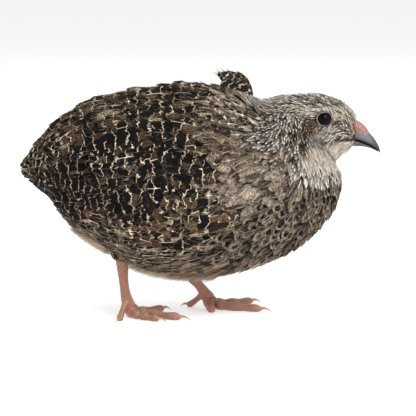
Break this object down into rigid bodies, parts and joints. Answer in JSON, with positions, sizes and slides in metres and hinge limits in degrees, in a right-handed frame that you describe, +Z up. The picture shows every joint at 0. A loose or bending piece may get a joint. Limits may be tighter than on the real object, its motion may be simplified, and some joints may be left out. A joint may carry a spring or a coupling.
{
  "type": "coturnix quail model",
  "caption": "Still, life-size coturnix quail, standing hunched on both feet with its head forward, wings folded and shoulder feathers ruffled.",
  "frame": {"origin": "on the ground under the middle of the bird's bounding box", "axes": "+X the way the bird faces, +Y its left side, +Z up"},
  "size_m": [0.1534, 0.0802, 0.1065],
  "materials": {
    "plumage": "soft body feathers, matte",
    "vanes": "stiff flight and tail feathers, dark with cream bars and shaft streaks",
    "bill": "horn, slate grey, satin",
    "eye": "wet, dark brown",
    "leg": "scaled skin, pinkish tan",
    "claw": "horn, tan"
  },
  "bodies": {
    "root": {"torso": "plumage", "neck": "plumage", "head": "plumage", "wing_left": "vanes", "wing_right": "vanes", "tail": "vanes", "raised_scapulars": "vanes", "thigh_left": "plumage", "thigh_right": "plumage", "upper_bill": "bill", "lower_bill": "bill", "eye_left": "eye", "eye_right": "eye", "tarsus_left": "leg", "tarsus_right": "leg", "hallux_left": "leg", "hallux_right": "leg", "inner_toe_left": "leg", "inner_toe_right": "leg", "middle_toe_left": "leg", "middle_toe_right": "leg", "outer_toe_left": "leg", "outer_toe_right": "leg", "claw_hallux_left": "claw", "claw_hallux_right": "claw", "claw_inner_toe_left": "claw", "claw_inner_toe_right": "claw", "claw_middle_toe_left": "claw", "claw_middle_toe_right": "claw", "claw_outer_toe_left": "claw", "claw_outer_toe_right": "claw"}
  },
  "joints": []
}
